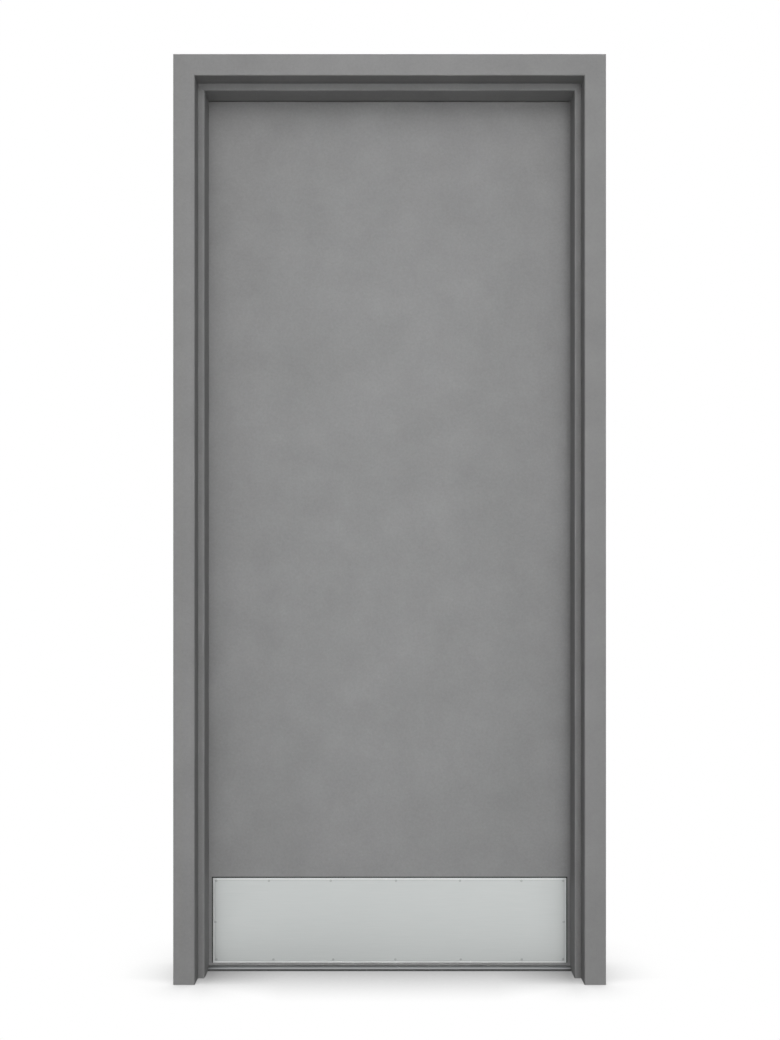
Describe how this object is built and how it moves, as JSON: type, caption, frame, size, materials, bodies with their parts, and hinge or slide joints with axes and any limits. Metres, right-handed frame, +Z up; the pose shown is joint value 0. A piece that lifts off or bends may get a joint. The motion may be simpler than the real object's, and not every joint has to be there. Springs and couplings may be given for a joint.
{
  "type": "steel utility door",
  "caption": "Flush hollow steel door leaf hung in a double-rabbet steel frame with mitred corners, with butt hinges, a stainless kick plate and a rabbeted threshold.",
  "frame": {"origin": "on the underside of the threshold, at floor level, in the middle of the opening and under the mid-plane of the closed leaf", "axes": "+X along the wall from the hinge side to the strike side, +Y the way the leaf opens (away from the push side), +Z up"},
  "size_m": [1.016, 0.1717, 2.1844],
  "materials": {
    "frame_paint": "satin grey paint on bent steel sheet",
    "leaf_paint": "satin grey paint on steel sheet",
    "kick_plate_steel": "satin stainless steel, bevelled edges",
    "hinge_steel": "satin stainless steel",
    "threshold_aluminium": "mill finish extrusion",
    "galvanised_steel": "zinc coated steel",
    "silencer_rubber": "grey moulded rubber"
  },
  "bodies": {
    "frame": {"head": "frame_paint", "hinge_jamb": "frame_paint", "strike_jamb": "frame_paint", "hinge_corner_gusset": "galvanised_steel", "strike_corner_gusset": "galvanised_steel", "hinge_floor_clip": "galvanised_steel", "strike_floor_clip": "galvanised_steel", "hinge_wall_anchor_low": "galvanised_steel", "hinge_wall_anchor_middle": "galvanised_steel", "hinge_wall_anchor_high": "galvanised_steel", "strike_wall_anchor_low": "galvanised_steel", "strike_wall_anchor_middle": "galvanised_steel", "strike_wall_anchor_high": "galvanised_steel", "jamb_reinforcement_low": "galvanised_steel", "jamb_reinforcement_middle": "galvanised_steel", "jamb_reinforcement_high": "galvanised_steel", "threshold": "threshold_aluminium", "silencer_low": "silencer_rubber", "silencer_middle": "silencer_rubber", "silencer_high": "silencer_rubber", "frame_hinge_plate_low": "hinge_steel", "frame_hinge_plate_middle": "hinge_steel", "frame_hinge_plate_high": "hinge_steel", "hinge_pin_low": "hinge_steel", "hinge_pin_middle": "hinge_steel", "hinge_pin_high": "hinge_steel"},
    "leaf": {"push_face_sheet": "leaf_paint", "pull_face_sheet": "leaf_paint", "top_channel": "leaf_paint", "bottom_channel": "leaf_paint", "leaf_reinforcement_low": "galvanised_steel", "leaf_reinforcement_middle": "galvanised_steel", "leaf_reinforcement_high": "galvanised_steel", "door_hinge_plate_low": "hinge_steel", "door_hinge_plate_middle": "hinge_steel", "door_hinge_plate_high": "hinge_steel", "kick_plate": "kick_plate_steel"}
  },
  "joints": [
    {"name": "leaf_swing", "type": "hinge", "parent": "frame", "child": "leaf", "pos_m": [-0.4547, 0.0413, 1.1303], "axis": [0, 0, 1], "range_deg": [0, 180]}
  ]
}
